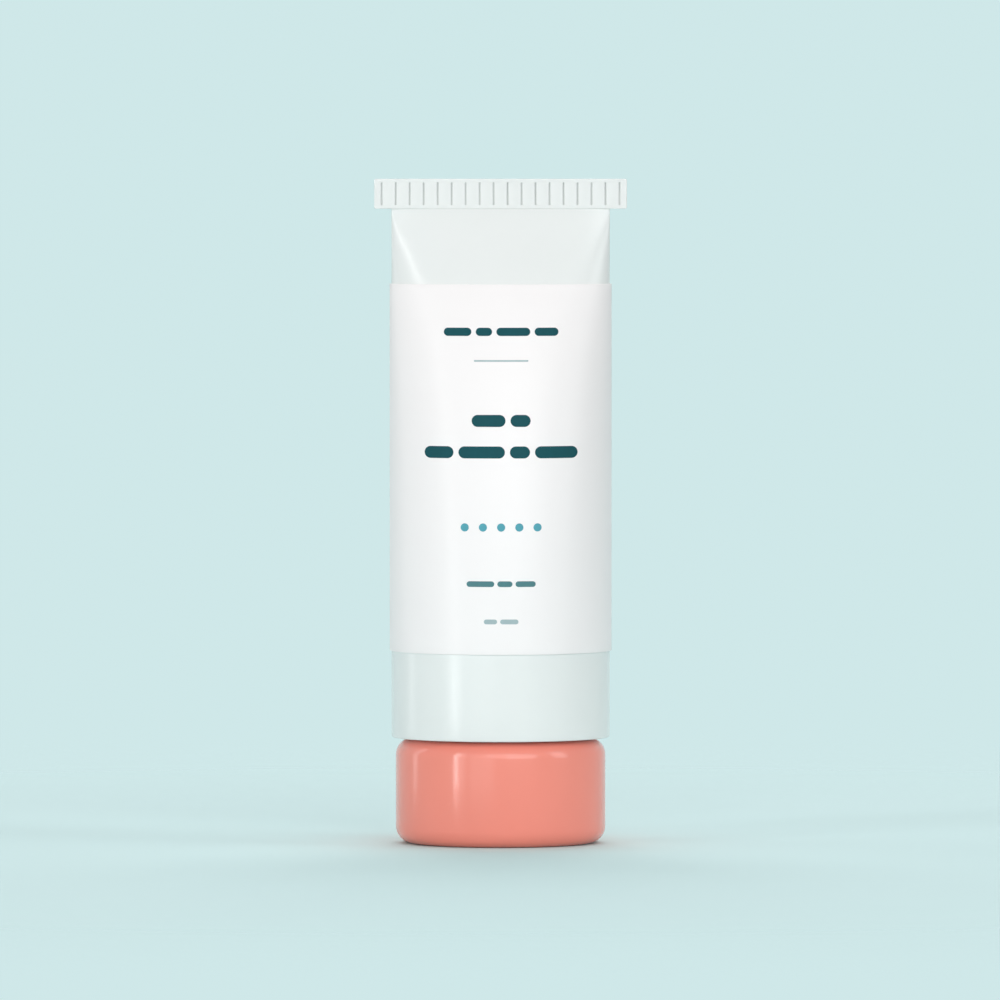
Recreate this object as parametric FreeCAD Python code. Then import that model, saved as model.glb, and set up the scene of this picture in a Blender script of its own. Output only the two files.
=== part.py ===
# Toothpaste tube, 50 ml, standing on its screw cap. Millimetres, +Z up.
# The origin is the centre of the cap's standing face. The neck points down into the cap, and
# the sleeve rises from a round shoulder to a flat crimped end at the top.
import FreeCAD
import Part

import os

Vec = FreeCAD.Vector
AXIS = Vec(0, 0, 1)
ORIGIN = Vec(0, 0, 0)

# Sleeve: one extruded film tube, round at the shoulder, pressed flat at the crimp.
sleeve_diameter = 35.0
sleeve_wall = 0.5
sleeve_height = 84.7               # shoulder plane to the crimp's lower edge
sleeve_fullness = 3.0              # 1 is a straight wedge, higher is plumper from the side
sleeve_edge_round = 0.3            # outer edge at the shoulder
wedge_sections = 10                # cross-sections that shape the wedge
weld_start_gap = 0.4               # between the walls, where the crimp's weld begins

# Crimp: both walls welded flat, with pressed grooves on both faces.
crimp_overhang = 2.75              # past the sleeve at each end
crimp_height = 4.8
crimp_corner_round = 0.3
groove_count = 18
groove_width = 0.35
groove_depth = 0.2
groove_margin = 0.6                # plain band above and below the grooves
groove_end_margin = 1.2            # crimp's end to the first groove's centre line

# Wrap label: one film strip round the sleeve, its ends facing each other at the back.
label_thickness = 0.3
label_above_shoulder = 13.9
label_below_crimp = 12.0
label_seam_gap = 0.8

# Tube head: flat shoulder, threaded neck and nozzle tip, moulded in one.
shoulder_thickness = 1.5
head_collar_height = 4.0           # the sleeve is welded round this collar
head_collar_wall = 0.8
neck_radius = 6.5                  # at the thread's root
neck_wall = 1.5
tip_inset = 1.9                    # tip's radius inside the neck's
tip_draft = 0.3                    # radius lost towards the tip's end
tip_length = 3.9
tip_step = 0.6                     # chamfer from tip to neck
orifice_radius = 2.75
funnel_width = 5.0                 # how far the channel widens inside the shoulder

# Thread: right-handed, two starts, the same lead on neck and cap.
thread_lead = 6.0
thread_starts = 2
thread_depth = 1.0
thread_base = 1.5
thread_crest = 0.7
thread_root_sink = 0.15            # how deep a ridge is rooted in its wall
thread_clearance = 0.2             # crest to the facing root
neck_thread_above_step = 1.55      # neck's step to its lowest ridge
neck_thread_below_shoulder = 2.0
cap_thread_below_mouth = 1.0       # boss's mouth to the cap's highest ridge

# Screw cap: thick skirt, base, threaded boss and the ribs between, moulded in one.
cap_inset = 0.675                  # inside the sleeve's outline all round
cap_height = 16.9
cap_edge_radius = 2.7
cap_skirt_wall = 3.2
cap_mouth_land = 0.3               # least flat left on the skirt's mouth
cap_base = 1.6
cap_to_shoulder = 0.1
boss_wall = 1.6
boss_inset = 1.0                   # boss's mouth below the skirt's mouth
boss_step_clearance = 0.7          # under the neck's step
tip_clearance = 0.6                # round the nozzle tip
rib_count = 8
rib_thickness = 1.2
rib_inset = 3.0                    # rib's top below the boss's mouth
foot_recess_depth = 0.25
foot_ring_width = 2.6              # flat ring that the tube stands on

# Foil disc, welded over the nozzle tip's end until it is peeled off.
foil_thickness = 0.15

# Contents.
paste_headspace = 22.8             # free height under the crimp's weld
paste_gap = 0.1                    # to every wall round it

# Radii, heights and places that follow from the sizes above.
sleeve_radius = sleeve_diameter / 2
sleeve_bore = sleeve_radius - sleeve_wall
crimp_thickness = 2 * sleeve_wall
crimp_width = sleeve_diameter + 2 * crimp_overhang
cap_radius = sleeve_radius - cap_inset
cap_round = min(cap_edge_radius, cap_skirt_wall - cap_mouth_land)
skirt_bore = cap_radius - cap_skirt_wall
shoulder_z = cap_height + cap_to_shoulder
shoulder_top_z = shoulder_z + shoulder_thickness
collar_top_z = shoulder_z + head_collar_height
crimp_z = shoulder_z + sleeve_height
label_z = shoulder_z + label_above_shoulder
label_top_z = crimp_z - label_below_crimp
foil_top_z = cap_base + foil_thickness
tip_top_z = foil_top_z + tip_length
step_top_z = tip_top_z + tip_step
neck_bore = neck_radius - neck_wall
tip_radius = neck_radius - tip_inset
tip_end_radius = tip_radius - tip_draft
tip_bore = tip_radius + tip_clearance
collar_bore = sleeve_bore - head_collar_wall
boss_bore = neck_radius + thread_depth + thread_clearance
boss_radius = boss_bore + boss_wall
boss_top_z = cap_height - boss_inset
boss_step_z = tip_top_z - boss_step_clearance
neck_thread_z = step_top_z + neck_thread_above_step
thread_height = shoulder_z - neck_thread_below_shoulder - neck_thread_z
cap_thread_z = boss_top_z - cap_thread_below_mouth - thread_height
weld_share = (1 - weld_start_gap / 2 / sleeve_bore) ** (1 / sleeve_fullness)
weld_z = collar_top_z + (crimp_z - collar_top_z) * weld_share
paste_top_z = weld_z - paste_headspace


def half_depth(z):
    """Half the sleeve's outer depth, front to back, at height z above the collar."""
    share = (z - collar_top_z) / (crimp_z - collar_top_z)
    return sleeve_wall + sleeve_bore * (1 - share ** sleeve_fullness)


def oval(half_x, half_y, z):
    """A closed round or elliptical wire at height z, at least as wide along X as along Y."""
    centre = Vec(0, 0, z)
    if half_x > half_y:
        curve = Part.Ellipse(centre + Vec(half_x, 0, 0), centre + Vec(0, half_y, 0), centre)
    else:
        curve = Part.Circle(centre, AXIS, half_x)
    return Part.Wire([curve.toShape()])


def drum(radius, low_z, high_z):
    """A round bar on the tube's axis."""
    return Part.makeCylinder(radius, high_z - low_z, Vec(0, 0, low_z))


def sleeve_form(grow, top_z):
    """The sleeve's outer form up to top_z, its surface moved out by grow, or in if negative."""
    wires = []
    for i in range(wedge_sections + 1):
        z = collar_top_z + (top_z - collar_top_z) * i / wedge_sections
        wires.append(oval(sleeve_radius + grow, half_depth(z) + grow, z))
    return Part.makeLoft(wires, True).fuse(drum(sleeve_radius + grow, shoulder_z, collar_top_z))


def turned(outline):
    """A solid of revolution about the tube's axis from (radius, height) corners."""
    corners = [Vec(radius, 0, z) for radius, z in outline]
    face = Part.Face(Part.makePolygon(corners + corners[:1]))
    return face.revolve(ORIGIN, AXIS, 360)


def rims(shape, radius, z):
    """The circular edges of this radius at this height."""
    found = []
    for edge in shape.Edges:
        if edge.Curve.TypeId == "Part::GeomCircle":
            off = edge.Curve.Center.distanceToPoint(Vec(0, 0, z)) + abs(edge.Curve.Radius - radius)
            if off < Part.Precision.confusion() * 10:
                found.append(edge)
    return found


def runs_through(edge):
    """Whether a straight edge runs front to back."""
    along = edge.tangentAt(edge.FirstParameter)
    return abs(along.y) > abs(along.x) + abs(along.z)


def one_solid(shape):
    """The shape's single solid, with faces that lie on one surface merged."""
    clean = shape.removeSplitter()
    assert len(clean.Solids) == 1, f"{len(clean.Solids)} solids where there should be one"
    return clean.Solids[0]


def thread_ridges(root_radius, outward, low_z, first_angle):
    """The ridges of one thread, spread evenly round it. outward is 1 or, in a bore, -1."""
    half_base = thread_base / 2
    half_crest = thread_crest / 2
    half_foot = half_base + (half_base - half_crest) / thread_depth * thread_root_sink
    foot = root_radius - outward * thread_root_sink
    crest = root_radius + outward * thread_depth
    middle_z = low_z + half_base
    corners = [
        Vec(foot, 0, middle_z - half_foot),
        Vec(crest, 0, middle_z - half_crest),
        Vec(crest, 0, middle_z + half_crest),
        Vec(foot, 0, middle_z + half_foot),
    ]
    profile = Part.makePolygon(corners + corners[:1])
    helix = Part.makeHelix(thread_lead, thread_height - thread_base, root_radius)
    helix.translate(Vec(0, 0, middle_z))
    ridges = []
    for i in range(thread_starts):
        ridge = Part.Wire(helix.Edges).makePipeShell([profile], True, True)
        ridge.rotate(ORIGIN, AXIS, first_angle + 360 * i / thread_starts)
        ridges.append(ridge)
    return ridges


def make_sleeve():
    form = sleeve_form(0, crimp_z)
    form = form.makeFillet(min(sleeve_edge_round, sleeve_wall), rims(form, sleeve_radius, shoulder_z))
    film = form.cut(sleeve_form(-sleeve_wall, weld_z))
    bar = Part.makeBox(crimp_width, crimp_thickness, crimp_height,
                       Vec(-crimp_width / 2, -crimp_thickness / 2, crimp_z))
    bar = bar.makeFillet(crimp_corner_round, [edge for edge in bar.Edges if runs_through(edge)])
    pitch = (crimp_width - 2 * groove_end_margin) / (groove_count - 1)
    grooves = []
    for i in range(groove_count):
        x = groove_end_margin - crimp_width / 2 + pitch * i
        for y in (-crimp_thickness / 2, crimp_thickness / 2 - groove_depth):
            grooves.append(Part.makeBox(groove_width, groove_depth, crimp_height - 2 * groove_margin,
                                        Vec(x - groove_width / 2, y, crimp_z + groove_margin)))
    return one_solid(film.fuse(bar).cut(grooves))


def make_label():
    band = drum(sleeve_diameter, label_z, label_top_z)
    seam = Part.makeBox(label_seam_gap, sleeve_diameter, label_top_z - label_z,
                        Vec(-label_seam_gap / 2, 0, label_z))
    strip = sleeve_form(label_thickness, crimp_z).common(band)
    return one_solid(strip.cut(sleeve_form(0, crimp_z)).cut(seam))


def make_head():
    body = turned([
        (orifice_radius, foil_top_z),
        (tip_end_radius, foil_top_z),
        (tip_radius, tip_top_z),
        (neck_radius, step_top_z),
        (neck_radius, shoulder_z),
        (sleeve_bore, shoulder_z),
        (sleeve_bore, collar_top_z),
        (collar_bore, collar_top_z),
        (collar_bore, shoulder_top_z),
        (neck_bore + funnel_width, shoulder_top_z),
        (neck_bore, shoulder_z),
        (neck_bore, step_top_z + neck_wall),
        (orifice_radius, tip_top_z),
    ])
    return one_solid(body.fuse(thread_ridges(neck_radius, 1, neck_thread_z, 0)))


def make_cap():
    recess = cap_radius - cap_round - foot_ring_width
    body = turned([
        (0, foot_recess_depth),
        (recess - foot_recess_depth, foot_recess_depth),
        (recess, 0),
        (cap_radius, 0),
        (cap_radius, cap_height),
        (skirt_bore, cap_height),
        (skirt_bore, cap_base),
        (boss_radius, cap_base),
        (boss_radius, boss_top_z),
        (boss_bore, boss_top_z),
        (boss_bore, boss_step_z),
        (tip_bore, boss_step_z),
        (tip_bore, cap_base),
        (0, cap_base),
    ])
    edges = rims(body, cap_radius, 0) + rims(body, cap_radius, cap_height)
    body = body.makeFillet(cap_round, edges)
    root = boss_wall / 2
    ribs = []
    for i in range(rib_count):
        rib = Part.makeBox(skirt_bore - boss_radius + 2 * root, rib_thickness,
                           boss_top_z - rib_inset - cap_base / 2,
                           Vec(boss_radius - root, -rib_thickness / 2, cap_base / 2))
        rib.rotate(ORIGIN, AXIS, 360 * i / rib_count)
        ribs.append(rib)
    # The cap's ridges run midway between the neck's, which start at angle 0.
    midway_z = neck_thread_z + thread_lead / thread_starts / 2
    angle = 360 * (cap_thread_z - midway_z) / thread_lead
    return one_solid(body.fuse(ribs).fuse(thread_ridges(boss_bore, -1, cap_thread_z, angle)))


def make_foil():
    return drum(tip_end_radius, cap_base, foil_top_z)


def make_paste():
    """The paste in the neck and shoulder, and above them in the sleeve."""
    low_z = shoulder_top_z + paste_gap
    high_z = collar_top_z + paste_gap
    plug = turned([
        (0, foil_top_z + paste_gap),
        (orifice_radius - paste_gap, foil_top_z + paste_gap),
        (orifice_radius - paste_gap, tip_top_z),
        (neck_bore - paste_gap, step_top_z + neck_wall),
        (neck_bore - paste_gap, shoulder_z + paste_gap),
        (neck_bore + funnel_width - paste_gap, low_z),
        (collar_bore - paste_gap, low_z),
        (collar_bore - paste_gap, high_z),
        (0, high_z),
    ])
    fill = sleeve_form(-sleeve_wall - paste_gap, weld_z).common(drum(sleeve_radius, high_z, paste_top_z))
    return one_solid(plug.fuse(fill))


def main():
    os.makedirs("parts", exist_ok=True)
    pieces = {
        "screw_cap": make_cap(),
        "foil_seal": make_foil(),
        "tube_head": make_head(),
        "tube_sleeve": make_sleeve(),
        "wrap_label": make_label(),
        "toothpaste": make_paste(),
    }
    for name, shape in pieces.items():
        shape.exportStep(f"parts/{name}.step")
        print(name, "valid" if shape.isValid() else "not valid", round(shape.Volume, 1), "mm3")


main()
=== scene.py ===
import math

import bmesh
import bpy
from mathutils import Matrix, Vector


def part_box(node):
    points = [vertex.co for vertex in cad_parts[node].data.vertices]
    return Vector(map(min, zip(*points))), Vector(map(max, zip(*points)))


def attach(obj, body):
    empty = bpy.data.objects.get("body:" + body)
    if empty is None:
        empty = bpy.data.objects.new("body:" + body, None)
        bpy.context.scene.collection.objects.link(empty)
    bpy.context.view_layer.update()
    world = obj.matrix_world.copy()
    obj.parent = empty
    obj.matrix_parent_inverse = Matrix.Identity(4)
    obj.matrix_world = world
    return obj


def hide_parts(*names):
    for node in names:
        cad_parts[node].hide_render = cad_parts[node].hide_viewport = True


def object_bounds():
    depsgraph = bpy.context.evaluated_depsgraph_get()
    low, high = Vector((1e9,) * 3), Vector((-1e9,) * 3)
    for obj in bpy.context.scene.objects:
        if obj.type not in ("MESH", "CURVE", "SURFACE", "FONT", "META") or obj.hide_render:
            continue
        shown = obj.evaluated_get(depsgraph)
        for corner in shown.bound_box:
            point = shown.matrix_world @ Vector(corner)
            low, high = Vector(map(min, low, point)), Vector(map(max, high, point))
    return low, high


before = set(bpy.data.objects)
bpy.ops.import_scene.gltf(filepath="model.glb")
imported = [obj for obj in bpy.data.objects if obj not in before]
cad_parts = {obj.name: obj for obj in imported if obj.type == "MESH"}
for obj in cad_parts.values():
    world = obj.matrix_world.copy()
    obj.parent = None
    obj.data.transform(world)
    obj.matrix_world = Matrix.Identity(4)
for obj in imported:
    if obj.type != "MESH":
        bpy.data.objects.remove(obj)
cad_low, cad_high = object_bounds()

MM = 0.001

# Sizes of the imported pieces, read from their boxes.
cap_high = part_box("screw_cap")[1]
head_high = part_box("tube_head")[1]
sleeve_low, sleeve_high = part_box("tube_sleeve")
label_low, label_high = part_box("wrap_label")
foil_low, foil_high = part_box("foil_seal")
paste_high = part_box("toothpaste")[1]

CAP_RADIUS = cap_high.x
CAP_HEIGHT = cap_high.z
SHOULDER_Z = sleeve_low.z
COLLAR_TOP_Z = head_high.z
CRIMP_TOP_Z = sleeve_high.z
CRIMP_WIDTH = 2 * sleeve_high.x
SLEEVE_BORE = head_high.x
FOIL_TOP_Z = foil_high.z
TIP_END_RADIUS = foil_high.x
PASTE_TOP_Z = paste_high.z

# Sleeve, crimp and label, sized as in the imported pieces, like the next three groups.
SLEEVE_WALL = 0.5 * MM
SLEEVE_RADIUS = SLEEVE_BORE + SLEEVE_WALL
SLEEVE_FULLNESS = 3.0
SLEEVE_EDGE_ROUND = 0.3 * MM
WELD_START_GAP = 0.4 * MM
CRIMP_HEIGHT = 4.8 * MM
CRIMP_Z = CRIMP_TOP_Z - CRIMP_HEIGHT
CRIMP_THICKNESS = 2 * SLEEVE_WALL
CRIMP_CORNER_ROUND = 0.3 * MM
GROOVE_COUNT = 18
GROOVE_WIDTH = 0.35 * MM
GROOVE_DEPTH = 0.2 * MM
GROOVE_MARGIN = 0.6 * MM
GROOVE_END_MARGIN = 1.2 * MM
LABEL_THICKNESS = label_high.x - SLEEVE_RADIUS
LABEL_SEAM_GAP = 0.8 * MM

# Tube head.
SHOULDER_THICKNESS = 1.5 * MM
COLLAR_WALL = 0.8 * MM
NECK_RADIUS = 6.5 * MM
NECK_WALL = 1.5 * MM
TIP_RADIUS = 4.6 * MM
TIP_LENGTH = 3.9 * MM
TIP_STEP = 0.6 * MM
ORIFICE_RADIUS = 2.75 * MM
FUNNEL_WIDTH = 5.0 * MM

# Thread, right-handed, with two starts.
THREAD_LEAD = 6.0 * MM
THREAD_STARTS = 2
THREAD_DEPTH = 1.0 * MM
THREAD_BASE = 1.5 * MM
THREAD_CREST = 0.7 * MM
THREAD_SINK = 0.15 * MM
THREAD_CLEARANCE = 0.2 * MM
NECK_THREAD_ABOVE_STEP = 1.55 * MM
NECK_THREAD_BELOW_SHOULDER = 2.0 * MM
CAP_THREAD_BELOW_MOUTH = 1.0 * MM

# Screw cap, and the gap round the paste.
CAP_ROUND = 2.7 * MM
CAP_SKIRT_WALL = 3.2 * MM
CAP_BASE = 1.6 * MM
BOSS_WALL = 1.6 * MM
BOSS_INSET = 1.0 * MM
BOSS_STEP_CLEARANCE = 0.7 * MM
TIP_CLEARANCE = 0.6 * MM
RIB_COUNT = 8
RIB_THICKNESS = 1.2 * MM
RIB_INSET = 3.0 * MM
FOOT_RECESS = 0.25 * MM
FOOT_RING = 2.6 * MM
PASTE_GAP = 0.1 * MM

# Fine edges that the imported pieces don't have.
CRIMP_EDGE_ROUND = 0.12 * MM
GROOVE_LIP = 0.05 * MM
FILM_NOTCH = 0.07 * MM
LABEL_EDGE_ROUND = 0.08 * MM
EDGE_BREAK = 0.15 * MM
INNER_ROUND = 3 * EDGE_BREAK

# Radii, heights and places that follow from the sizes above.
TIP_TOP_Z = FOIL_TOP_Z + TIP_LENGTH
STEP_TOP_Z = TIP_TOP_Z + TIP_STEP
SHOULDER_TOP_Z = SHOULDER_Z + SHOULDER_THICKNESS
NECK_BORE = NECK_RADIUS - NECK_WALL
COLLAR_BORE = SLEEVE_BORE - COLLAR_WALL
SKIRT_BORE = CAP_RADIUS - CAP_SKIRT_WALL
BOSS_BORE = NECK_RADIUS + THREAD_DEPTH + THREAD_CLEARANCE
BOSS_RADIUS = BOSS_BORE + BOSS_WALL
BOSS_TOP_Z = CAP_HEIGHT - BOSS_INSET
BOSS_STEP_Z = TIP_TOP_Z - BOSS_STEP_CLEARANCE
TIP_BORE = TIP_RADIUS + TIP_CLEARANCE
NECK_THREAD_Z = STEP_TOP_Z + NECK_THREAD_ABOVE_STEP
THREAD_HEIGHT = SHOULDER_Z - NECK_THREAD_BELOW_SHOULDER - NECK_THREAD_Z
CAP_THREAD_Z = BOSS_TOP_Z - CAP_THREAD_BELOW_MOUTH - THREAD_HEIGHT
WELD_SHARE = (1 - WELD_START_GAP / 2 / SLEEVE_BORE) ** (1 / SLEEVE_FULLNESS)
WELD_Z = COLLAR_TOP_Z + (CRIMP_Z - COLLAR_TOP_Z) * WELD_SHARE
GROOVE_PITCH = (CRIMP_WIDTH - 2 * GROOVE_END_MARGIN) / (GROOVE_COUNT - 1)
FIRST_GROOVE_X = GROOVE_END_MARGIN - CRIMP_WIDTH / 2
GROOVE_REACH = GROOVE_WIDTH / 2 + GROOVE_LIP

# How finely round things are drawn, and the rows up the sleeve's outside and inside.
ROUND_STEPS = 240
INNER_STEPS = 120
ARC_STEPS = 10
CORNER_STEPS = 4
WEDGE_ROWS = 72
INNER_ROWS = 24
SHARP_ANGLE = math.radians(40)

# Colours as linear light.
SLEEVE_MINT = (0.795, 0.82, 0.81)
LABEL_WHITE = (0.900, 0.872, 0.872)
CAP_CORAL = (0.90, 0.270, 0.205)
HEAD_WHITE = (0.80, 0.83, 0.83)
FOIL_SILVER = (0.72, 0.73, 0.74)
PASTE_MINT = (0.72, 0.88, 0.84)
INKS = {
    "ink_dark": (0.008, 0.075, 0.090),
    "ink_sea": (0.095, 0.36, 0.44),
    "ink_muted": (0.085, 0.215, 0.235),
    "ink_pale": (0.36, 0.47, 0.49),
}
BACKDROP = (0.625, 0.805, 0.812)
FLOOR_PAPER = (0.632, 0.812, 0.817)

# Painted shade in the crimp's grooves: how much of its colour the film keeps on a groove's floor.
PAINTED_GROOVE_SHADE = 0.72

# Noise in the finishes: the range that most of its values lie in, its detail, and how many times
# finer roughness varies than colour.
NOISE_LOW = 0.15
NOISE_HIGH = 0.85
NOISE_DETAIL = 3.0
ROUGHNESS_FINER = 6

# Where the print's rows have their middle, and the rows, plain dashes: name, ink, then height on
# the tube, dash height, gap and dash widths in millimetres.
PRINT_MIDDLE_X = 0.08 * MM
PRINT_ROWS = [
    ("heading", "ink_dark", 82.2, 1.3, 0.7, [4.4, 2.6, 5.4, 3.8]),
    ("divider", "ink_pale", 77.6, 0.25, 0, [8.7]),
    ("title_short", "ink_dark", 68.1, 1.9, 0.8, [5.4, 3.2]),
    ("title_long", "ink_dark", 63.1, 1.9, 0.8, [4.6, 7.4, 3.2, 6.8]),
    ("dots", "ink_sea", 51.2, 1.3, 1.6, [1.3] * 5),
    ("small", "ink_muted", 42.2, 0.9, 0.5, [4.4, 2.4, 3.2]),
    ("tiny", "ink_pale", 36.2, 0.75, 0.5, [2.1, 2.9]),
]

# How strong the light from all round is, at the front and at the back.
FRONT_LIGHT = 0.15
BACK_LIGHT = 0.24

# The lamps: name, azimuth and elevation in degrees, distance, width and height in metres, and
# radiance. Azimuth 0 is behind the camera, 90 to its right.
LAMPS = [
    ("front_centre", 0, 20, 1.8, 0.9, 1.1, 1.75),
    ("soft_left", -21, 8, 1.8, 0.85, 1.6, 1.15),
    ("key_right", 24, 18, 1.8, 1.0, 1.0, 2.9),
    ("strip_left", -50, 4, 1.5, 0.12, 1.6, 11.0),
    ("strip_soft", -43, 4, 1.5, 0.18, 1.6, 1.8),
    ("rim_left", -108, 6, 1.5, 0.18, 1.6, 2.2),
    ("side_right", 70, 20, 1.6, 0.5, 1.0, 2.8),
    ("top_wide", 0, 89, 0.9, 1.6, 0.4, 1.1),
    ("back_top", 180, 48, 1.3, 1.2, 0.5, 3.2),
    ("back_soft", 180, 12, 1.8, 1.0, 1.0, 4.4),
]

# A lamp further round than this isn't mirrored in the tube, where it would draw a bright rim.
MIRRORED_WITHIN = 120


def half_depth(z):
    """Half the sleeve's outer depth, front to back, at height z."""
    share = max(0.0, (z - COLLAR_TOP_Z) / (CRIMP_Z - COLLAR_TOP_Z))
    return SLEEVE_WALL + SLEEVE_BORE * (1 - share ** SLEEVE_FULLNESS)


class Skin:
    """The points and faces of one mesh, built from rings, and how far points are pressed in."""

    def __init__(self):
        self.points = []
        self.faces = []
        self.pressed = {}

    def ring(self, points):
        """Adds points and returns their numbers."""
        first = len(self.points)
        self.points.extend(points)
        return list(range(first, len(self.points)))

    def wall(self, low, high, closed=True):
        """Quads between two rings that have as many points."""
        for i in range(len(low) if closed else len(low) - 1):
            j = (i + 1) % len(low)
            self.faces.append((low[i], low[j], high[j], high[i]))

    def stack(self, rings):
        """Rings joined in order, each to the next."""
        rows = [self.ring(points) for points in rings]
        for low, high in zip(rows, rows[1:]):
            self.wall(low, high)
        return rows

    def lid(self, ring):
        """One face that closes a ring."""
        self.faces.append(tuple(ring))

    def seam(self, inner, outer, stretch=1.0):
        """Triangles between two rings of any number of points, both in order of angle."""
        def angle_of(index):
            x, y, _ = self.points[index]
            return math.atan2(y * stretch, x)

        def turn(index):
            return (angle_of(index) - start) % math.tau

        start = angle_of(inner[0])
        inner_turns = [turn(i) for i in inner] + [math.tau]
        nearest = min(range(len(outer)), key=lambda k: turn(outer[k]))
        outer = outer[nearest:] + outer[:nearest]
        outer_turns = [turn(i) for i in outer] + [turn(outer[0]) + math.tau]
        a = 0
        b = 0
        while a < len(inner) or b < len(outer):
            take_inner = b == len(outer) or (
                a < len(inner) and inner_turns[a + 1] <= outer_turns[b + 1]
            )
            here = inner[a % len(inner)]
            there = outer[b % len(outer)]
            if take_inner:
                a += 1
                self.faces.append((here, inner[a % len(inner)], there))
            else:
                b += 1
                self.faces.append((here, outer[b % len(outer)], there))

    def piece(self, name, material, body, slot, *nodes):
        """Makes the object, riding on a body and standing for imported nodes."""
        mesh = bpy.data.meshes.new(name)
        mesh.from_pydata(self.points, [], self.faces)
        if self.pressed:
            values = [self.pressed.get(i, 0.0) for i in range(len(self.points))]
            mesh.attributes.new("pressed", "FLOAT", "POINT").data.foreach_set("value", values)
        work = bmesh.new()
        work.from_mesh(mesh)
        bmesh.ops.remove_doubles(work, verts=work.verts, dist=1e-7)
        bmesh.ops.recalc_face_normals(work, faces=work.faces)
        for face in work.faces:
            face.smooth = True
        for edge in work.edges:
            edge.smooth = len(edge.link_faces) == 2 and edge.calc_face_angle() < SHARP_ANGLE
        work.to_mesh(mesh)
        work.free()
        mesh.materials.append(material)
        made = bpy.data.objects.new(name, mesh)
        bpy.context.scene.collection.objects.link(made)
        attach(made, body)
        if nodes:
            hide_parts(*nodes)


def oval(half_x, half_y, z, steps=ROUND_STEPS):
    """The points of an elliptical ring at height z."""
    turns = [math.tau * i / steps for i in range(steps)]
    return [(half_x * math.cos(t), half_y * math.sin(t), z) for t in turns]


def arc(centre, radius, first, last, steps=ARC_STEPS):
    """Points of an arc in a (radius, height) profile, its angles in degrees."""
    points = []
    for i in range(steps + 1):
        turn = math.radians(first + (last - first) * i / steps)
        points.append((centre[0] + radius * math.cos(turn), centre[1] + radius * math.sin(turn)))
    return points


def softened(corners, size=EDGE_BREAK):
    """A profile with its corners rounded by size, or by a size of their own, their third value."""
    points = []
    for i, corner in enumerate(corners):
        here = Vector(corner[:2])
        reach = corner[2] if len(corner) == 3 else size
        before = Vector(corners[i - 1][:2]) - here
        after = Vector(corners[(i + 1) % len(corners)][:2]) - here
        if reach == 0 or here.x == 0:
            points.append(tuple(here))
            continue
        reach = min(reach, before.length / 2, after.length / 2)
        start = here + before.normalized() * reach
        end = here + after.normalized() * reach
        for k in range(CORNER_STEPS + 1):
            t = k / CORNER_STEPS
            point = start * (1 - t) ** 2 + here * 2 * t * (1 - t) + end * t ** 2
            points.append(tuple(point))
    return points


def turn_profile(skin, profile):
    """A closed solid of revolution from a (radius, height) profile that is itself closed."""
    rows = []
    for radius, z in profile:
        if radius == 0:
            rows.append(skin.ring([(0, 0, z)]))
        else:
            rows.append(skin.ring(oval(radius, radius, z)))
    for low, high in zip(rows, rows[1:] + rows[:1]):
        if len(low) == len(high) > 1:
            skin.wall(low, high)
        elif len(low) + len(high) > 2:
            pole, rim = (low, high) if len(low) == 1 else (high, low)
            for i in range(len(rim)):
                skin.faces.append((pole[0], rim[i], rim[(i + 1) % len(rim)]))


def add_thread(skin, root_radius, outward, low_z, first_angle):
    """Helical ridges on a wall, their ends run out smoothly. outward is 1 or, in a bore, -1."""
    steps_a_turn = 120
    run_out = 18
    rise = THREAD_HEIGHT - THREAD_BASE
    steps = round(steps_a_turn * rise / THREAD_LEAD)
    half_base = THREAD_BASE / 2
    half_crest = THREAD_CREST / 2
    # Shares of the ridge's own sizes: its foot's width at the ends, the flat of its crest, and
    # where the crest's rounded edge begins.
    end_foot = 0.4
    flat_crest = 0.8
    edge_width = 1.15
    edge_depth = 0.86
    for start in range(THREAD_STARTS):
        rows = []
        for i in range(steps + 1):
            full = min(1.0, (i + 0.5) / run_out, (steps - i + 0.5) / run_out)
            full = math.sin(full * math.pi / 2)
            angle = first_angle + math.tau * (start / THREAD_STARTS + i / steps_a_turn)
            z = low_z + half_base + rise * i / steps
            upper = [
                (THREAD_DEPTH * full, half_crest * flat_crest),
                (edge_depth * THREAD_DEPTH * full, half_crest * edge_width),
                (0, half_base * (end_foot + (1 - end_foot) * full)),
                (-THREAD_SINK, half_base),
            ]
            section = [(out, -up) for out, up in reversed(upper)] + upper
            points = []
            for out, up in section:
                radius = root_radius + outward * out
                points.append((radius * math.cos(angle), radius * math.sin(angle), z + up))
            rows.append(skin.ring(points))
        for low, high in zip(rows, rows[1:]):
            skin.wall(low, high)
        skin.lid(rows[0])
        skin.lid(rows[-1])


def noise_value(nodes, links, scale, stretch=(1, 1, 1)):
    """A noise texture's value over the object's own coordinates. scale is in features a metre."""
    place = nodes.new("ShaderNodeTexCoord")
    shape = nodes.new("ShaderNodeMapping")
    shape.inputs["Scale"].default_value = stretch
    links.new(place.outputs["Object"], shape.inputs["Vector"])
    noise = nodes.new("ShaderNodeTexNoise")
    noise.inputs["Scale"].default_value = scale
    noise.inputs["Detail"].default_value = NOISE_DETAIL
    links.new(shape.outputs["Vector"], noise.inputs["Vector"])
    return noise.outputs["Fac"]


def spread(nodes, links, value, low, high):
    """A noise value mapped to the range from low to high."""
    remap = nodes.new("ShaderNodeMapRange")
    remap.inputs["From Min"].default_value = NOISE_LOW
    remap.inputs["From Max"].default_value = NOISE_HIGH
    remap.inputs["To Min"].default_value = low
    remap.inputs["To Max"].default_value = high
    links.new(value, remap.inputs["Value"])
    return remap.outputs["Result"]


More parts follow.
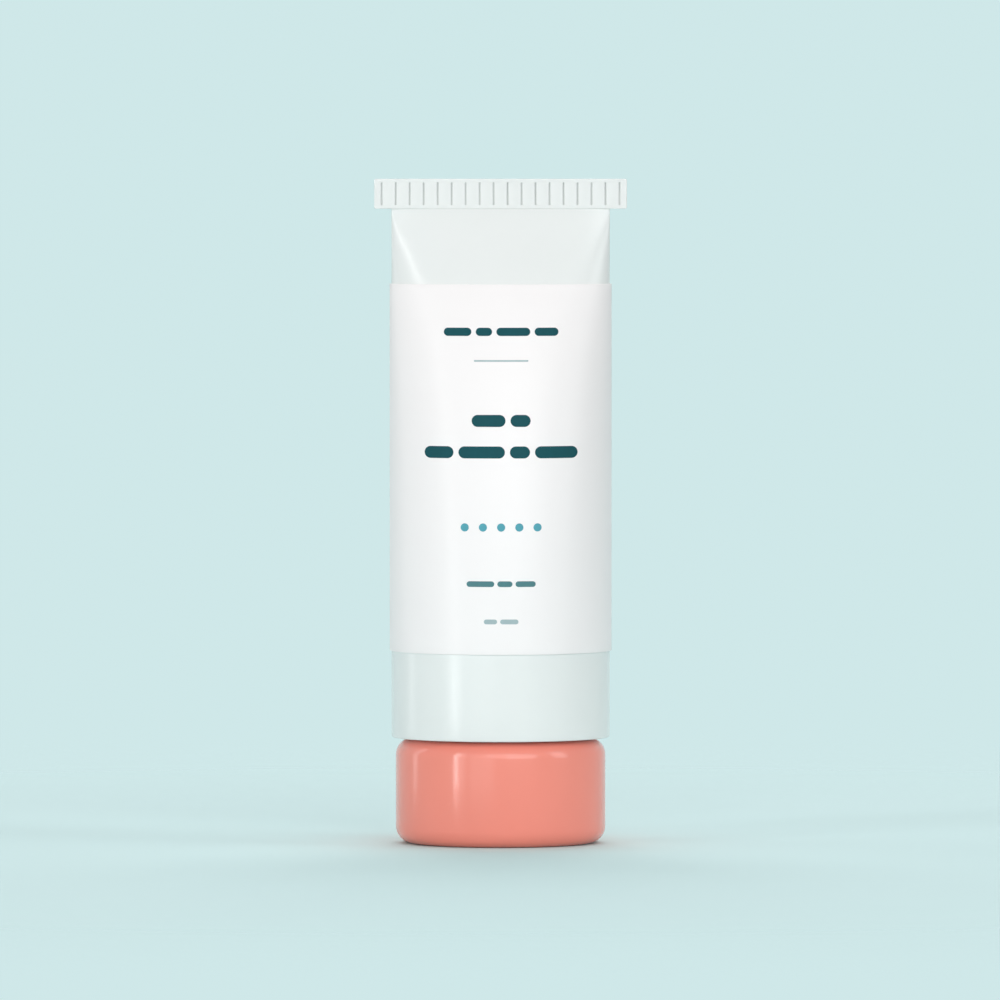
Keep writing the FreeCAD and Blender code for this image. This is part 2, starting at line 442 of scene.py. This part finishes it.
def drifting(nodes, links, colour, shade, patches):
    """A colour that drifts by a share of itself, in patches, so many a metre."""
    tint = nodes.new("ShaderNodeMix")
    tint.data_type = "RGBA"
    tint.inputs["A"].default_value = (*[c * (1 - shade) for c in colour], 1)
    tint.inputs["B"].default_value = (*[min(1, c * (1 + shade)) for c in colour], 1)
    drift = noise_value(nodes, links, patches)
    links.new(spread(nodes, links, drift, 0, 1), tint.inputs["Factor"])
    return tint.outputs["Result"]


def painted_groove_shade(nodes, links, colour):
    """A colour with painted shade: darker where the mesh says that a groove presses it in."""
    pressed = nodes.new("ShaderNodeAttribute")
    pressed.attribute_name = "pressed"
    darker = nodes.new("ShaderNodeMapRange")
    darker.inputs["To Min"].default_value = 1
    darker.inputs["To Max"].default_value = PAINTED_GROOVE_SHADE
    links.new(pressed.outputs["Fac"], darker.inputs["Value"])
    scaled = nodes.new("ShaderNodeVectorMath")
    scaled.operation = "SCALE"
    links.new(colour, scaled.inputs[0])
    links.new(darker.outputs["Result"], scaled.inputs["Scale"])
    return scaled.outputs["Vector"]


def bumpy(nodes, links, bumps):
    """A normal with bumps, one on another, each (features a metre, stretch, height in metres)."""
    normal = None
    for scale, stretch, height in bumps:
        bump = nodes.new("ShaderNodeBump")
        bump.inputs["Strength"].default_value = 1
        bump.inputs["Distance"].default_value = height
        links.new(noise_value(nodes, links, scale, stretch), bump.inputs["Height"])
        if normal:
            links.new(normal, bump.inputs["Normal"])
        normal = bump.outputs["Normal"]
    return normal


def finish_of(name, colour, shade, roughness, bumps, patches=60, **sockets):
    """A material with a drifting colour, a range of roughness, bumps, and values for sockets."""
    material = bpy.data.materials.new(name)
    material.use_nodes = True
    nodes = material.node_tree.nodes
    links = material.node_tree.links
    shader = nodes["Principled BSDF"]
    for socket, value in sockets.items():
        shader.inputs[socket.replace("_", " ")].default_value = value
    tint = drifting(nodes, links, colour, shade, patches)
    # The base colour gets painted shade where a groove presses the mesh in.
    links.new(painted_groove_shade(nodes, links, tint), shader.inputs["Base Color"])
    rub = noise_value(nodes, links, patches * ROUGHNESS_FINER)
    links.new(spread(nodes, links, rub, *roughness), shader.inputs["Roughness"])
    links.new(bumpy(nodes, links, bumps), shader.inputs["Normal"])
    return material


def front_point(x, z, grow):
    """The point of the sleeve's front at (x, z), its surface moved out by grow."""
    across = x / (SLEEVE_RADIUS + grow)
    return (x, -(half_depth(z) + grow) * math.sqrt(1 - across ** 2), z)


def make_cap(material):
    """The screw cap: skirt, base and boss turned in one, then the thread and the ribs."""
    skin = Skin()
    foot = CAP_RADIUS - CAP_ROUND
    recess = foot - FOOT_RING
    gate_radius = 1.2 * MM
    gate_depth = 0.12 * MM
    gate_round = EDGE_BREAK / 3
    mouth_round = 2 * EDGE_BREAK
    profile = [
        (0, FOOT_RECESS + gate_depth),
        (gate_radius - gate_depth, FOOT_RECESS + gate_depth, gate_round),
        (gate_radius, FOOT_RECESS, gate_round),
        (recess - FOOT_RECESS, FOOT_RECESS),
        (recess, 0),
    ]
    profile += [(r, z, 0) for r, z in arc((foot, CAP_ROUND), CAP_ROUND, -90, 0)]
    profile += [(r, z, 0) for r, z in arc((foot, CAP_HEIGHT - CAP_ROUND), CAP_ROUND, 0, 90)]
    profile += [
        (SKIRT_BORE, CAP_HEIGHT),
        (SKIRT_BORE, CAP_BASE, INNER_ROUND),
        (BOSS_RADIUS, CAP_BASE, INNER_ROUND),
        (BOSS_RADIUS, BOSS_TOP_Z),
        (BOSS_BORE, BOSS_TOP_Z, mouth_round),
        (BOSS_BORE, BOSS_STEP_Z),
        (TIP_BORE, BOSS_STEP_Z),
        (TIP_BORE, CAP_BASE),
        (0, CAP_BASE),
    ]
    turn_profile(skin, softened(profile))
    # The cap's ridges lie midway between the neck's.
    midway_z = NECK_THREAD_Z + THREAD_LEAD / THREAD_STARTS / 2
    first_angle = math.tau * (CAP_THREAD_Z - midway_z) / THREAD_LEAD
    add_thread(skin, BOSS_BORE, -1, CAP_THREAD_Z, first_angle)
    for i in range(RIB_COUNT):
        add_rib(skin, math.tau * i / RIB_COUNT)
    skin.piece("cap_shell", material, "cap", "cap_plastic", "screw_cap")


def add_rib(skin, angle):
    """A rib from boss to skirt, thinner at its rounded top."""
    root = BOSS_WALL / 2
    inner = BOSS_RADIUS - root
    outer = SKIRT_BORE + root
    top_z = BOSS_TOP_Z - RIB_INSET
    draft = 0.12 * MM
    edge = 0.3 * MM
    edge_turn = 80
    edge_steps = 4
    sections = [(CAP_BASE / 2, RIB_THICKNESS / 2)]
    for across, up in arc((0, 0), edge, 0, edge_turn, edge_steps):
        sections.append((top_z - edge + up, RIB_THICKNESS / 2 - draft - edge + across))
    rings = []
    for z, half in sections:
        ring = []
        for x, y in ((inner, -half), (outer, -half), (outer, half), (inner, half)):
            ring.append((x * math.cos(angle) - y * math.sin(angle),
                         x * math.sin(angle) + y * math.cos(angle), z))
        rings.append(ring)
    rows = skin.stack(rings)
    skin.lid(rows[0])
    skin.lid(rows[-1])


def make_foil(material):
    """The foil disc over the nozzle, with the ring that its welding pressed in."""
    skin = Skin()
    press = 0.05 * MM
    weld_inner = ORIFICE_RADIUS
    profile = [
        (0, foil_low.z + press),
        (weld_inner - press, foil_low.z + press),
        (weld_inner + press, foil_low.z),
        (TIP_END_RADIUS, foil_low.z),
        (TIP_END_RADIUS, foil_high.z),
        (0, foil_high.z),
    ]
    turn_profile(skin, softened(profile, press))
    skin.piece("foil_disc", material, "seal", "seal_foil", "foil_seal")


def make_head(material):
    """The tube head: nozzle tip, neck, shoulder and collar turned in one, then the thread."""
    skin = Skin()
    turn_profile(skin, softened([
        (ORIFICE_RADIUS, FOIL_TOP_Z),
        (TIP_END_RADIUS, FOIL_TOP_Z),
        (TIP_RADIUS, TIP_TOP_Z),
        (NECK_RADIUS, STEP_TOP_Z),
        (NECK_RADIUS, SHOULDER_Z, INNER_ROUND),
        (SLEEVE_BORE, SHOULDER_Z, 0),
        (SLEEVE_BORE, COLLAR_TOP_Z),
        (COLLAR_BORE, COLLAR_TOP_Z),
        (COLLAR_BORE, SHOULDER_TOP_Z, INNER_ROUND),
        (NECK_BORE + FUNNEL_WIDTH, SHOULDER_TOP_Z, INNER_ROUND),
        (NECK_BORE, SHOULDER_Z, INNER_ROUND),
        (NECK_BORE, STEP_TOP_Z + NECK_WALL, INNER_ROUND),
        (ORIFICE_RADIUS, TIP_TOP_Z, INNER_ROUND),
    ]))
    add_thread(skin, NECK_RADIUS, 1, NECK_THREAD_Z, 0)
    skin.piece("neck_and_shoulder", material, "tube", "head_plastic", "tube_head")


def groove_share(x):
    """How deep a groove is at x along the crimp, from 0 on the flat to 1 on its floor."""
    number = min(max(round((x - FIRST_GROOVE_X) / GROOVE_PITCH), 0), GROOVE_COUNT - 1)
    nearest = FIRST_GROOVE_X + GROOVE_PITCH * number
    across = min(1, abs(x - nearest) / GROOVE_REACH)
    return (1 + math.cos(math.pi * across)) / 2


def crimp_stations():
    """Places along the crimp's width that follow every groove's section."""
    half_steps = 6
    stations = [GROOVE_END_MARGIN / 2 - CRIMP_WIDTH / 2]
    for i in range(GROOVE_COUNT):
        middle = FIRST_GROOVE_X + GROOVE_PITCH * i
        for k in range(-half_steps, half_steps + 1):
            stations.append(middle + GROOVE_REACH * k / half_steps)
        stations.append(middle + GROOVE_PITCH / 2)
    limit = CRIMP_WIDTH / 2 - CRIMP_CORNER_ROUND - CRIMP_EDGE_ROUND
    return sorted(x for x in stations if abs(x) < limit)


def crimp_ring(z, half_width, half_thick, groove):
    """One ring round the crimp, from its right end over the back and front."""
    bevel = CRIMP_EDGE_ROUND
    bevel_steps = 4
    slit = FILM_NOTCH / 2
    right_end = [(half_width, -slit, z), (half_width - FILM_NOTCH, 0, z), (half_width, slit, z)]
    left_end = [(-x, -y, z) for x, y, z in right_end]
    bevel_centre = (half_width - bevel, half_thick - bevel)
    corner = [(x, y, z) for x, y in arc(bevel_centre, bevel, 0, 90, bevel_steps)]
    back = list(corner)
    for x in reversed(crimp_stations()):
        back.append((x, half_thick - groove * GROOVE_DEPTH * groove_share(x), z))
    back += [(-x, y, z) for x, y, z in reversed(corner)]
    front = [(-x, -y, z) for x, y, z in back]
    return right_end + back + left_end + front


def crimp_rows():
    """(height, half width, half thickness, groove share) of each ring up the crimp."""
    half_width = CRIMP_WIDTH / 2
    half_thick = CRIMP_THICKNESS / 2
    groove_low = CRIMP_Z + GROOVE_MARGIN
    groove_high = CRIMP_TOP_Z - GROOVE_MARGIN
    corner_steps = 8
    heights = []
    for k in range(corner_steps + 1):
        heights.append(CRIMP_CORNER_ROUND * (1 - math.cos(math.radians(90 * k / corner_steps))))
    heights = [CRIMP_Z + h for h in heights] + [CRIMP_TOP_Z - h for h in reversed(heights)]
    for k in (-1, -0.5, 0, 0.5, 1):
        heights.append(groove_low + k * GROOVE_LIP)
        heights.append(groove_high + k * GROOVE_LIP)
    rows = []
    for z in sorted(heights):
        from_edge = min(z - CRIMP_Z, CRIMP_TOP_Z - z)
        short = max(0.0, CRIMP_CORNER_ROUND - from_edge)
        thin = max(0.0, CRIMP_EDGE_ROUND - from_edge)
        width = half_width - CRIMP_CORNER_ROUND + math.sqrt(CRIMP_CORNER_ROUND ** 2 - short ** 2)
        thick = half_thick - CRIMP_EDGE_ROUND + math.sqrt(CRIMP_EDGE_ROUND ** 2 - thin ** 2)
        inside = min(z - groove_low, groove_high - z) / (2 * GROOVE_LIP) + 0.5
        inside = min(max(inside, 0), 1)
        groove = inside * inside * (3 - 2 * inside)
        rows.append((z, width, thick, groove))
    return rows


def close_crimp(skin, ring):
    """The crimp's cut top edge, with the line between its two films."""
    end_points = 3
    side = (len(ring) - 2 * end_points) // 2
    right = ring[:end_points]
    back = ring[end_points:end_points + side]
    left = ring[end_points + side:2 * end_points + side][::-1]
    front = ring[2 * end_points + side:][::-1]
    inner = []
    # Rows on the back film's edge, down in the line between the films, and on the front film's.
    for k, lift in ((2, 0), (1, -FILM_NOTCH), (0, 0)):
        row = [right[k]]
        for i in range(side):
            x, _, z = skin.points[back[i]]
            y = skin.points[right[k]][1]
            row.append(skin.ring([(x, y, z + lift)])[0])
        row.append(left[k])
        inner.append(row)
    for low, high in zip(inner, inner[1:]):
        skin.wall(low, high, closed=False)
    for edge, row in ((back, inner[0]), (front, inner[2])):
        skin.wall(edge, row[1:-1], closed=False)
        skin.faces.append((edge[0], row[1], row[0]))
        skin.faces.append((edge[-1], row[-1], row[-2]))


def make_sleeve(material):
    """The film sleeve, from its edge at the shoulder up to the crimped end, and its cavity."""
    skin = Skin()
    cavity = [oval(SLEEVE_BORE, SLEEVE_BORE, SHOULDER_Z, INNER_STEPS)]
    for i in range(INNER_ROWS + 1):
        z = COLLAR_TOP_Z + (WELD_Z - COLLAR_TOP_Z) * i / INNER_ROWS
        cavity.append(oval(SLEEVE_BORE, half_depth(z) - SLEEVE_WALL, z, INNER_STEPS))
    inside = skin.stack(cavity)
    skin.lid(inside[-1])
    outer = []
    edge_steps = 6
    edge_centre = (SLEEVE_RADIUS - SLEEVE_EDGE_ROUND, SHOULDER_Z + SLEEVE_EDGE_ROUND)
    for radius, z in arc(edge_centre, SLEEVE_EDGE_ROUND, -90, 0, edge_steps):
        outer.append(oval(radius, radius, z))
    for i in range(WEDGE_ROWS + 1):
        z = COLLAR_TOP_Z + (CRIMP_Z - COLLAR_TOP_Z) * i / WEDGE_ROWS
        outer.append(oval(SLEEVE_RADIUS, half_depth(z), z))
    outside = skin.stack(outer)
    skin.seam(inside[0], outside[0])
    rows = crimp_rows()
    crimp = skin.stack([crimp_ring(*row) for row in rows])
    # How deep in a groove each point lies, which sets the painted shade in the grooves.
    for (_, _, half_thick, groove), ring in zip(rows, crimp):
        for i in ring:
            x, y, _ = skin.points[i]
            if abs(y) < half_thick:
                skin.pressed[i] = groove * groove_share(x)
    skin.seam(outside[-1], crimp[0], stretch=SLEEVE_RADIUS / half_depth(CRIMP_Z))
    close_crimp(skin, crimp[-1])
    skin.piece("sleeve_film", material, "tube", "sleeve_film", "tube_sleeve")


def make_label(material):
    """The wrap label, a strip round the sleeve whose two ends stop short of each other."""
    skin = Skin()
    seam_turn = math.asin(LABEL_SEAM_GAP / 2 / SLEEVE_RADIUS)
    first = math.pi / 2 + seam_turn
    sweep = math.tau - 2 * seam_turn
    turns = [first + sweep * i / ROUND_STEPS for i in range(ROUND_STEPS + 1)]
    sink = 0.03 * MM

    def strip(z, grow):
        """The way round the sleeve at height z, moved out by grow, between the label's ends."""
        half_x = SLEEVE_RADIUS + grow
        half_y = half_depth(z) + grow
        return [(half_x * math.cos(t), half_y * math.sin(t), z) for t in turns]

    edge_steps = 4
    edge_centre = (LABEL_THICKNESS - LABEL_EDGE_ROUND, label_low.z + LABEL_EDGE_ROUND)
    low_edge = arc(edge_centre, LABEL_EDGE_ROUND, -90, 0, edge_steps)
    rows = list(low_edge)
    for i in range(1, WEDGE_ROWS):
        rows.append((LABEL_THICKNESS, label_low.z + (label_high.z - label_low.z) * i / WEDGE_ROWS))
    rows += [(grow, label_low.z + label_high.z - z) for grow, z in reversed(low_edge)]
    made = skin.stack([strip(z, grow) + strip(z, -sink)[::-1] for grow, z in rows])
    for ring in (made[0], made[-1]):
        skin.wall(ring[:ROUND_STEPS + 1], ring[ROUND_STEPS + 1:][::-1], closed=False)
    skin.piece("label_film", material, "tube", "label_film", "wrap_label")


def add_dash(skin, x, z, width, height):
    """A round-ended dash of ink on the label's front, or a dot where it is as wide as high."""
    ink_rise = 0.02 * MM
    ink_sink = 0.04 * MM
    end_steps = 8
    middle_steps = 8
    radius = height / 2
    straight = width - height
    places = []
    for k in range(end_steps + 1):
        places.append(-width / 2 + radius * (1 - math.cos(math.radians(90 * k / end_steps))))
    places += [-p for p in places]
    if straight > 0:
        places += [straight * (k / middle_steps - 0.5) for k in range(1, middle_steps)]
    rows = []
    for place in sorted(set(places)):
        near_end = max(0.0, abs(place) - straight / 2)
        half = math.sqrt(max(0.0, radius ** 2 - near_end ** 2))
        heights = [z + half * share for share in (-1, -0.5, 0, 0.5, 1)]
        ring = [front_point(x + place, h, LABEL_THICKNESS + ink_rise) for h in heights]
        ring += [front_point(x + place, h, LABEL_THICKNESS - ink_sink) for h in reversed(heights)]
        rows.append(skin.ring(ring))
    for low, high in zip(rows, rows[1:]):
        skin.wall(low, high)


def make_print(name, material, z, height, gap, widths):
    """A centred row of dashes on the label's front, as one piece. Its sizes are in millimetres."""
    skin = Skin()
    left = -(sum(widths) + gap * (len(widths) - 1)) / 2
    for width in widths:
        middle = PRINT_MIDDLE_X + (left + width / 2) * MM
        add_dash(skin, middle, z * MM, width * MM, height * MM)
        left += width + gap
    skin.piece(name, material, "tube", "label_film")


def make_paste(material):
    """The paste, which fills nozzle, neck and sleeve up to its level under the crimp."""
    skin = Skin()
    channel = ORIFICE_RADIUS - PASTE_GAP
    throat = NECK_BORE - PASTE_GAP
    plug = [
        (channel, FOIL_TOP_Z + PASTE_GAP),
        (channel, TIP_TOP_Z),
        (throat, STEP_TOP_Z + NECK_WALL),
        (throat, SHOULDER_Z + PASTE_GAP),
        (throat + FUNNEL_WIDTH, SHOULDER_TOP_Z + PASTE_GAP),
        (COLLAR_BORE - PASTE_GAP, SHOULDER_TOP_Z + PASTE_GAP),
        (COLLAR_BORE - PASTE_GAP, COLLAR_TOP_Z + PASTE_GAP),
    ]
    rings = [oval(r, r, z, INNER_STEPS) for r, z in plug]
    low_z = COLLAR_TOP_Z + PASTE_GAP
    for i in range(INNER_ROWS + 1):
        z = low_z + (PASTE_TOP_Z - low_z) * i / INNER_ROWS
        half_y = half_depth(z) - SLEEVE_WALL - PASTE_GAP
        rings.append(oval(SLEEVE_BORE - PASTE_GAP, half_y, z, INNER_STEPS))
    rows = skin.stack(rings)
    skin.lid(rows[0])
    skin.lid(rows[-1])
    skin.piece("paste_fill", material, "tube", "paste", "toothpaste")


def make_pieces():
    """Every piece of the tube, in its finish."""
    # Bumps are even grain, or drawn out along the tube, as the film is when it is made.
    grain = (1, 1, 1)
    drawn = (1, 1, 0.02)
    sleeve = finish_of("milky_film", SLEEVE_MINT, shade=0.01, roughness=(0.27, 0.31),
                       bumps=[(700, drawn, 0.004 * MM), (5000, grain, 0.001 * MM)],
                       Coat_Weight=0.8, Coat_Roughness=0.24, Specular_IOR_Level=0.1)
    label = finish_of("label_white", LABEL_WHITE, shade=0.006, roughness=(0.40, 0.45),
                      bumps=[(4000, grain, 0.002 * MM), (260, grain, 0.004 * MM)],
                      Coat_Weight=0.15, Coat_Roughness=0.25, Specular_IOR_Level=0.35)
    cap = finish_of("coral_plastic", CAP_CORAL, shade=0.015, roughness=(0.24, 0.28),
                    bumps=[(3500, grain, 0.002 * MM), (350, grain, 0.003 * MM)],
                    Coat_Weight=0.8, Coat_Roughness=0.15, Specular_IOR_Level=0.05)
    head = finish_of("head_white", HEAD_WHITE, shade=0.012, roughness=(0.34, 0.44),
                     bumps=[(3500, grain, 0.006 * MM)], IOR=1.5)
    foil = finish_of("foil_silver", FOIL_SILVER, shade=0.05, roughness=(0.22, 0.42),
                     bumps=[(2500, grain, 0.03 * MM)], Metallic=1.0)
    paste = finish_of("mint_paste", PASTE_MINT, shade=0.02, roughness=(0.18, 0.28),
                      bumps=[(600, grain, 0.08 * MM)], IOR=1.4)
    inks = {}
    for name, colour in INKS.items():
        inks[name] = finish_of(name, colour, shade=0.05, roughness=(0.5, 0.6), patches=900,
                               bumps=[(7000, grain, 0.002 * MM)], Specular_IOR_Level=0.12)
    make_cap(cap)
    make_foil(foil)
    make_head(head)
    make_sleeve(sleeve)
    make_label(label)
    make_paste(paste)
    for name, ink, *row in PRINT_ROWS:
        make_print(f"print_{name}", inks[ink], *row)


def aim(thing, target):
    """Turns a lamp or camera at a point."""
    direction = Vector(target) - thing.location
    thing.rotation_euler = direction.to_track_quat("-Z", "Y").to_euler()


def softbox(name, azimuth, elevation, distance, width, height, radiance):
    """A rectangular lamp that faces the tube."""
    lamp = bpy.data.lights.new(name, "AREA")
    lamp.shape = "RECTANGLE"
    lamp.size = width
    lamp.size_y = height
    lamp.energy = radiance * width * height * math.pi
    made = bpy.data.objects.new(name, lamp)
    bpy.context.scene.collection.objects.link(made)
    turn = math.radians(azimuth)
    rise = math.radians(elevation)
    level = math.cos(rise)
    way = Vector((math.sin(turn) * level, -math.cos(turn) * level, math.sin(rise)))
    middle = Vector((0, 0, cad_high.z / 2))
    made.location = middle + distance * way
    aim(made, middle)
    made.visible_camera = False
    made.visible_glossy = abs(azimuth) < MIRRORED_WITHIN


def make_world():
    """Soft light from all round, and the backdrop where the world itself is seen or mirrored."""
    # Y runs from -1 in front to 1 at the back. The light changes between these two places.
    front_end = -0.4
    back_end = 0.4
    world = bpy.data.worlds.new("studio")
    world.use_nodes = True
    bpy.context.scene.world = world
    nodes = world.node_tree.nodes
    links = world.node_tree.links
    way = nodes.new("ShaderNodeTexCoord")
    parts = nodes.new("ShaderNodeSeparateXYZ")
    links.new(way.outputs["Generated"], parts.inputs["Vector"])
    strength = nodes.new("ShaderNodeMapRange")
    strength.interpolation_type = "SMOOTHSTEP"
    strength.inputs["From Min"].default_value = front_end
    strength.inputs["From Max"].default_value = back_end
    strength.inputs["To Min"].default_value = FRONT_LIGHT
    strength.inputs["To Max"].default_value = BACK_LIGHT
    links.new(parts.outputs["Y"], strength.inputs["Value"])
    light = nodes["Background"]
    light.inputs["Color"].default_value = (1.0, 1.0, 1.0, 1)
    links.new(strength.outputs["Result"], light.inputs["Strength"])
    seen = nodes.new("ShaderNodeBackground")
    seen.inputs["Color"].default_value = (*BACKDROP, 1)
    path = nodes.new("ShaderNodeLightPath")
    shown = path.outputs["Is Camera Ray"]
    for ray in ("Is Glossy Ray", "Is Transmission Ray"):
        either = nodes.new("ShaderNodeMath")
        either.operation = "MAXIMUM"
        links.new(shown, either.inputs[0])
        links.new(path.outputs[ray], either.inputs[1])
        shown = either.outputs[0]
    mix = nodes.new("ShaderNodeMixShader")
    links.new(shown, mix.inputs[0])
    links.new(light.outputs[0], mix.inputs[1])
    links.new(seen.outputs[0], mix.inputs[2])
    links.new(mix.outputs[0], nodes["World Output"].inputs["Surface"])


def make_floor():
    """A pale floor round the tube that fades into the backdrop's colour far out."""
    plain_radius = 0.05
    middle_radius = 0.15
    edge_radius = 0.32
    round_steps = 96
    skin = Skin()
    radii = (plain_radius, middle_radius, edge_radius)
    rows = skin.stack([oval(r, r, 0, round_steps) for r in radii])
    skin.lid(rows[0])
    mesh = bpy.data.meshes.new("floor")
    mesh.from_pydata(skin.points, [], skin.faces)
    floor = bpy.data.objects.new("floor", mesh)
    bpy.context.scene.collection.objects.link(floor)
    material = bpy.data.materials.new("floor_paper")
    material.use_nodes = True
    nodes = material.node_tree.nodes
    links = material.node_tree.links
    paper = nodes["Principled BSDF"]
    paper.inputs["Base Color"].default_value = (*FLOOR_PAPER, 1)
    paper.inputs["Roughness"].default_value = 0.9
    paper.inputs["Specular IOR Level"].default_value = 0.0
    clear = nodes.new("ShaderNodeBsdfTransparent")
    place = nodes.new("ShaderNodeTexCoord")
    length = nodes.new("ShaderNodeVectorMath")
    length.operation = "LENGTH"
    links.new(place.outputs["Object"], length.inputs[0])
    fade = nodes.new("ShaderNodeMapRange")
    fade.interpolation_type = "SMOOTHSTEP"
    fade.inputs["From Min"].default_value = plain_radius
    fade.inputs["From Max"].default_value = edge_radius
    links.new(length.outputs["Value"], fade.inputs["Value"])
    mix = nodes.new("ShaderNodeMixShader")
    links.new(fade.outputs["Result"], mix.inputs[0])
    links.new(paper.outputs[0], mix.inputs[1])
    links.new(clear.outputs[0], mix.inputs[2])
    links.new(mix.outputs[0], nodes["Material Output"].inputs["Surface"])
    mesh.materials.append(material)


def make_lamps():
    """Every lamp of the list."""
    for name, *place, radiance in LAMPS:
        softbox(name, *place, radiance)


def make_camera():
    """Straight in front of the tube, looking down by two degrees."""
    elevation = math.radians(2.0)
    distance = 2.2
    frame_pixels = 1000
    pixels_a_metre = 6236.0
    target_x = -0.0001
    target_z = 0.0550
    data = bpy.data.cameras.new("camera")
    data.sensor_width = 36
    data.lens = data.sensor_width * distance * pixels_a_metre / frame_pixels
    data.clip_start = 0.05
    data.clip_end = 50
    camera = bpy.data.objects.new("camera", data)
    bpy.context.scene.collection.objects.link(camera)
    target = Vector((target_x, 0, target_z))
    camera.location = target + distance * Vector((0, -math.cos(elevation), math.sin(elevation)))
    aim(camera, target)
    bpy.context.scene.camera = camera


bpy.context.scene.view_settings.view_transform = "Standard"
make_pieces()
make_world()
make_floor()
make_lamps()
make_camera()
